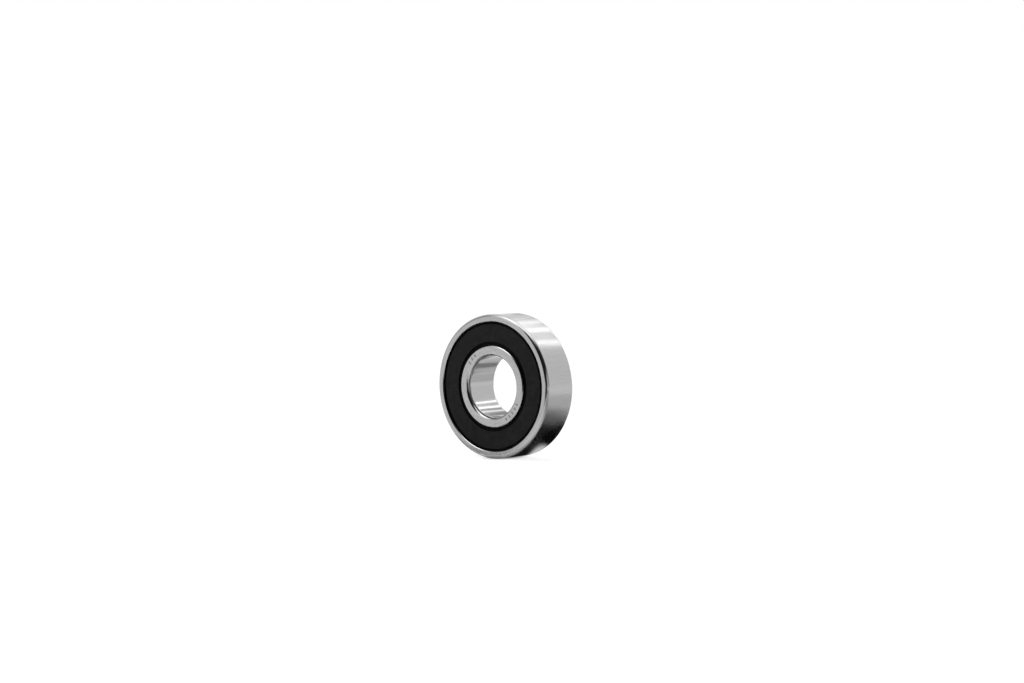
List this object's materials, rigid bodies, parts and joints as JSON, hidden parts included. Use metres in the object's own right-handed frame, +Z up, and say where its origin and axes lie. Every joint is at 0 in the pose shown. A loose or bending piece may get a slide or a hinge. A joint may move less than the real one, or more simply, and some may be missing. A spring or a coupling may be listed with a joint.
{
  "type": "sealed deep groove ball bearing",
  "caption": "Sealed deep groove ball bearing: ground steel rings, balls in a riveted ribbon cage, and a rubber seal on a steel plate at each side.",
  "frame": {"origin": "centre of the bearing: on its axis, midway between the side faces", "axes": "+Y along the bearing's axis, towards the rear side face; +Z up; the front side face is towards -Y"},
  "size_m": [0.028, 0.008, 0.028],
  "materials": {
    "outer_ring_steel": "fine ground, bright",
    "inner_ring_steel": "fine ground, bright",
    "seal_rubber": "matte moulded nitrile rubber",
    "seal_plate_steel": "rolled sheet",
    "cage_steel": "pressed sheet, satin",
    "rivet_steel": "drawn wire, satin",
    "ball_steel": "lapped, mirror bright"
  },
  "bodies": {
    "outer_ring": {"outer_ring": "outer_ring_steel", "front_seal_rubber": "seal_rubber", "front_seal_plate": "seal_plate_steel", "rear_seal_rubber": "seal_rubber", "rear_seal_plate": "seal_plate_steel"},
    "inner_ring": {"inner_ring": "inner_ring_steel"},
    "cage": {"front_cage_half": "cage_steel", "rear_cage_half": "cage_steel", "cage_rivet_1": "rivet_steel", "cage_rivet_2": "rivet_steel", "cage_rivet_3": "rivet_steel", "cage_rivet_4": "rivet_steel", "cage_rivet_5": "rivet_steel", "cage_rivet_6": "rivet_steel", "cage_rivet_7": "rivet_steel", "cage_rivet_8": "rivet_steel"},
    "ball_1": {"ball_1": "ball_steel"},
    "ball_2": {"ball_2": "ball_steel"},
    "ball_3": {"ball_3": "ball_steel"},
    "ball_4": {"ball_4": "ball_steel"},
    "ball_5": {"ball_5": "ball_steel"},
    "ball_6": {"ball_6": "ball_steel"},
    "ball_7": {"ball_7": "ball_steel"},
    "ball_8": {"ball_8": "ball_steel"}
  },
  "joints": [
    {"name": "inner_ring_spin", "type": "hinge", "parent": "outer_ring", "child": "inner_ring", "pos_m": [0, 0, 0], "axis": [0, 1, 0], "continuous": true},
    {"name": "cage_spin", "type": "hinge", "parent": "outer_ring", "child": "cage", "pos_m": [0, 0, 0], "axis": [0, 1, 0], "continuous": true},
    {"name": "ball_1_spin", "type": "hinge", "parent": "cage", "child": "ball_1", "pos_m": [0, 0, 0.01], "axis": [0, 1, 0], "continuous": true},
    {"name": "ball_2_spin", "type": "hinge", "parent": "cage", "child": "ball_2", "pos_m": [0.00707, 0, 0.00707], "axis": [0, 1, 0], "continuous": true},
    {"name": "ball_3_spin", "type": "hinge", "parent": "cage", "child": "ball_3", "pos_m": [0.01, 0, 0], "axis": [0, 1, 0], "continuous": true},
    {"name": "ball_4_spin", "type": "hinge", "parent": "cage", "child": "ball_4", "pos_m": [0.00707, 0, -0.00707], "axis": [0, 1, 0], "continuous": true},
    {"name": "ball_5_spin", "type": "hinge", "parent": "cage", "child": "ball_5", "pos_m": [0, 0, -0.01], "axis": [0, 1, 0], "continuous": true},
    {"name": "ball_6_spin", "type": "hinge", "parent": "cage", "child": "ball_6", "pos_m": [-0.00707, 0, -0.00707], "axis": [0, 1, 0], "continuous": true},
    {"name": "ball_7_spin", "type": "hinge", "parent": "cage", "child": "ball_7", "pos_m": [-0.01, 0, 0], "axis": [0, 1, 0], "continuous": true},
    {"name": "ball_8_spin", "type": "hinge", "parent": "cage", "child": "ball_8", "pos_m": [-0.00707, 0, 0.00707], "axis": [0, 1, 0], "continuous": true}
  ],
  "couplings": [
    {"joint": "cage_spin", "follows": "inner_ring_spin", "ratio": 0.38095},
    {"joint": "ball_1_spin", "follows": "inner_ring_spin", "ratio": -1.9809},
    {"joint": "ball_2_spin", "follows": "inner_ring_spin", "ratio": -1.9809},
    {"joint": "ball_3_spin", "follows": "inner_ring_spin", "ratio": -1.9809},
    {"joint": "ball_4_spin", "follows": "inner_ring_spin", "ratio": -1.9809},
    {"joint": "ball_5_spin", "follows": "inner_ring_spin", "ratio": -1.9809},
    {"joint": "ball_6_spin", "follows": "inner_ring_spin", "ratio": -1.9809},
    {"joint": "ball_7_spin", "follows": "inner_ring_spin", "ratio": -1.9809},
    {"joint": "ball_8_spin", "follows": "inner_ring_spin", "ratio": -1.9809}
  ]
}
